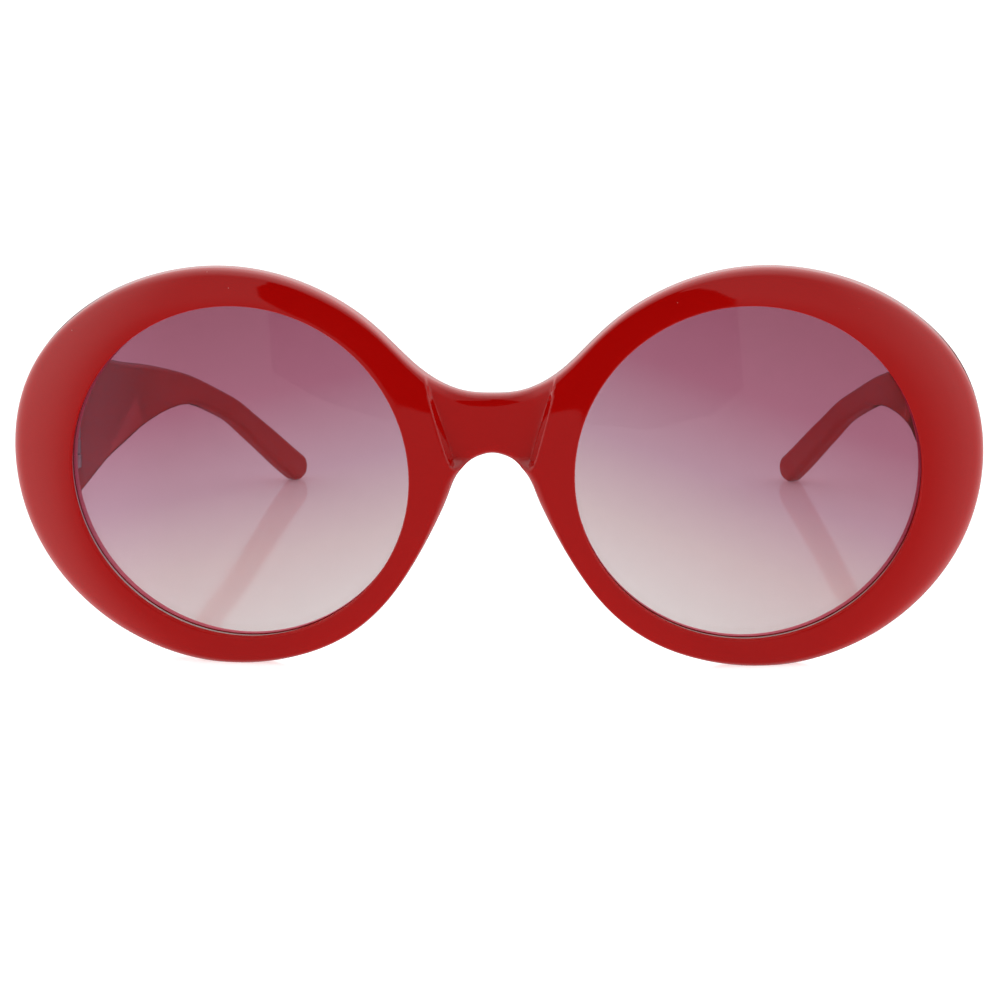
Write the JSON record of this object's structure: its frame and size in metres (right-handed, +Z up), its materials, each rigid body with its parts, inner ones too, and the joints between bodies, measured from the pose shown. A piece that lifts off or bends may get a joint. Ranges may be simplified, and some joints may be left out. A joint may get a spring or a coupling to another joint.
{
  "type": "round sunglasses",
  "caption": "Round oversize sunglasses with a thick domed front, tinted lenses, a recessed flat bridge and deep temples that fold on barrel hinges.",
  "frame": {"origin": "on the floor under the middle of the bounding box, with the glasses standing open on both rims and both temple tips", "axes": "+X towards the wearer's left, +Y from the front back along the temples, +Z up"},
  "size_m": [0.1468, 0.1402, 0.0618],
  "materials": {
    "red_acetate": "polished",
    "tinted_lens": "polished, tint fading towards the bottom",
    "hinge_steel": "satin"
  },
  "bodies": {
    "front": {"front_frame": "red_acetate", "nose_pad_left": "red_acetate", "nose_pad_right": "red_acetate", "lens_left": "tinted_lens", "lens_right": "tinted_lens", "hinge_front_leaf_left": "hinge_steel", "hinge_front_leaf_right": "hinge_steel", "hinge_screw_left": "hinge_steel", "hinge_screw_right": "hinge_steel"},
    "temple_left": {"temple_left": "red_acetate", "core_wire_left": "hinge_steel", "hinge_temple_leaf_left": "hinge_steel"},
    "temple_right": {"temple_right": "red_acetate", "core_wire_right": "hinge_steel", "hinge_temple_leaf_right": "hinge_steel"}
  },
  "joints": [
    {"name": "temple_left_fold", "type": "hinge", "parent": "front", "child": "temple_left", "pos_m": [0.06683, -0.04859, 0.0308], "axis": [0, 0, 1], "range_deg": [0, 83]},
    {"name": "temple_right_fold", "type": "hinge", "parent": "front", "child": "temple_right", "pos_m": [-0.06683, -0.04859, 0.0308], "axis": [0, 0, -1], "range_deg": [0, 78]}
  ]
}
